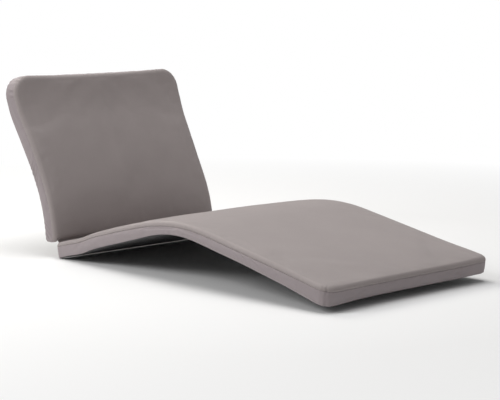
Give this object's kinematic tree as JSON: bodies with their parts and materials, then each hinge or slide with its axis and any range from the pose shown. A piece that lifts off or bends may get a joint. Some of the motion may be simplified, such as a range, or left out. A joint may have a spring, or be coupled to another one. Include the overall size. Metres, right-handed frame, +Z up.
{
  "type": "dental chair overlay pad",
  "caption": "Thin foam overlay pad for a dental patient chair: a back pad and a long seat and leg pad in grey fitted covers, joined by a fabric strip at the fold.",
  "frame": {"origin": "centre of the bounding box's underside, with the pad in the shape it takes on the chair", "axes": "+X from the fold towards the feet, Y across the patient with -Y the patient's right, +Z up"},
  "size_m": [1.0707, 0.508, 0.4256],
  "materials": {
    "cover_fabric": "smooth matte coated grey knit with a faint sheen",
    "base_fabric": "dark grip fabric with a fine raised dot pattern",
    "memory_foam": "pale yellow slow-recovery foam, fine open cells",
    "support_foam": "white-grey firm foam, open cells",
    "zip_tape": "woven zip tape",
    "zip_coil": "nylon coil",
    "zip_metal": "grey lacquered zinc, worn at the edges",
    "label_fabric": "blank white satin ribbon"
  },
  "bodies": {
    "seat": {"seat_memory_foam": "memory_foam", "seat_support_foam": "support_foam", "seat_cover_top": "cover_fabric", "seat_cover_boxing": "cover_fabric", "seat_cover_base": "base_fabric", "knee_memory_foam": "memory_foam", "knee_support_foam": "support_foam", "knee_cover_top": "cover_fabric", "knee_cover_boxing": "cover_fabric", "knee_cover_base": "base_fabric", "fold_hinge_strip": "cover_fabric", "seat_zip_tapes": "zip_tape", "seat_zip_coil": "zip_coil", "seat_zip_stops": "zip_metal", "care_label": "label_fabric"},
    "leg": {"leg_memory_foam": "memory_foam", "leg_support_foam": "support_foam", "leg_cover_top": "cover_fabric", "leg_cover_boxing": "cover_fabric", "leg_cover_base": "base_fabric"},
    "back": {"back_memory_foam": "memory_foam", "back_support_foam": "support_foam", "back_cover_front": "cover_fabric", "back_cover_boxing": "cover_fabric", "back_cover_base": "base_fabric", "back_zip_tapes": "zip_tape", "back_zip_coil": "zip_coil", "back_zip_stops": "zip_metal"},
    "seat_zip_slider": {"seat_zip_slider": "zip_metal"},
    "seat_zip_pull": {"seat_zip_pull": "zip_metal"},
    "back_zip_slider": {"back_zip_slider": "zip_metal"},
    "back_zip_pull": {"back_zip_pull": "zip_metal"}
  },
  "joints": [
    {"name": "back_fold", "type": "hinge", "parent": "seat", "child": "back", "pos_m": [-0.3465, 0, 0.0352], "axis": [0, 1, 0], "range_deg": [-86, 70], "deforming": ["fold_hinge_strip"]},
    {"name": "knee_bend", "type": "hinge", "parent": "seat", "child": "leg", "pos_m": [0.07072, 0, 0.12578], "axis": [0, 1, 0], "range_deg": [-26, 35], "deforming": ["knee_memory_foam", "knee_support_foam", "knee_cover_top", "knee_cover_boxing", "knee_cover_base"]},
    {"name": "seat_zip_slide", "type": "slide", "parent": "seat", "child": "seat_zip_slider", "axis": [0, -1, 0], "range_m": [0, 0.396]},
    {"name": "seat_zip_pull_turn", "type": "hinge", "parent": "seat_zip_slider", "child": "seat_zip_pull", "pos_m": [-0.33606, 0.1993, 0.00941], "axis": [0.2555, 0, -0.9668], "range_deg": [0, 165]},
    {"name": "back_zip_slide", "type": "slide", "parent": "back", "child": "back_zip_slider", "axis": [0, 1, 0], "range_m": [0, 0.396]},
    {"name": "back_zip_pull_turn", "type": "hinge", "parent": "back_zip_slider", "child": "back_zip_pull", "pos_m": [-0.37425, -0.1993, 0.03726], "axis": [-0.9986, 0, -0.0523], "range_deg": [0, 165]}
  ]
}
